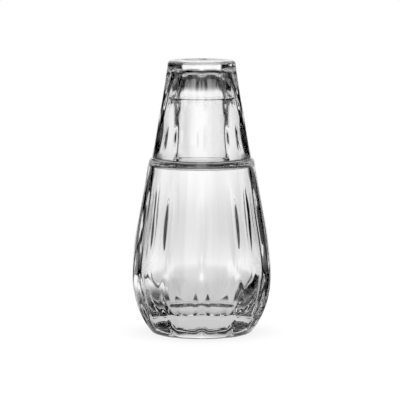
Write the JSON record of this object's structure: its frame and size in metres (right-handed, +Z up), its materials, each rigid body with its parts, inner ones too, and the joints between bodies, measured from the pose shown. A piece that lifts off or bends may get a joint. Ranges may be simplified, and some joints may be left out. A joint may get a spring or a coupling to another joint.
{
  "type": "bedside carafe with tumbler",
  "caption": "Egg-shaped cut-glass water carafe with a flat shoulder and plain neck, and a tapered tumbler that stands upside down over the neck as its lid.",
  "frame": {"origin": "middle of the carafe's underside, on the table", "axes": "+Z up along the axis that carafe and tumbler share; a flute of each row faces -Y"},
  "size_m": [0.1098, 0.1098, 0.216],
  "materials": {
    "carafe_glass": "clear polished glass with cut flutes",
    "tumbler_glass": "clear polished glass with cut flutes"
  },
  "bodies": {
    "carafe": {"carafe": "carafe_glass"},
    "tumbler": {"tumbler": "tumbler_glass"}
  },
  "joints": [
    {"name": "tumbler_lift", "type": "slide", "parent": "carafe", "child": "tumbler", "axis": [0, 0, 1], "range_m": [0, 0.1]}
  ]
}
